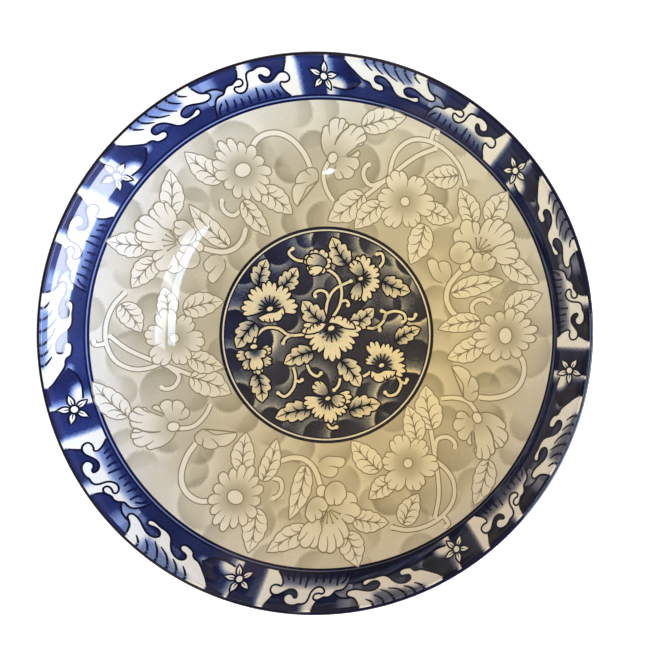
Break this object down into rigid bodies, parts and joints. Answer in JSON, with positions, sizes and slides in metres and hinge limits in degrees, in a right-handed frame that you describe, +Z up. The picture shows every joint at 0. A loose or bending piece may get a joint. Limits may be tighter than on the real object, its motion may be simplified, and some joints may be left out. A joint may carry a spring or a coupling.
{
  "type": "serving bowl",
  "caption": "Shallow footed porcelain serving bowl with a printed wave border, a flowered field, a round floral medallion and a dark lip line",
  "frame": {"origin": "centre of the face of the foot ring that the bowl stands on", "axes": "+Z up along the axis that the bowl is turned about; X and Y in the table, +X towards the middle of a daisy in the flowered field"},
  "size_m": [0.25, 0.25, 0.0517],
  "materials": {
    "porcelain": "fired, covered by glaze",
    "bare_porcelain": "matt, unglazed",
    "clear_glaze": "gloss",
    "lip_glaze": "gloss",
    "border_glaze": "gloss",
    "line_glaze": "gloss",
    "field_glaze": "gloss",
    "ring_glaze": "gloss",
    "medallion_glaze": "gloss"
  },
  "bodies": {
    "root": {"porcelain_body": "porcelain", "foot_ring": "bare_porcelain", "outer_glaze": "clear_glaze", "base_glaze": "clear_glaze", "lip_line": "lip_glaze", "border_print": "border_glaze", "border_line": "line_glaze", "field_print": "field_glaze", "medallion_line": "ring_glaze", "medallion_print": "medallion_glaze"}
  },
  "joints": []
}
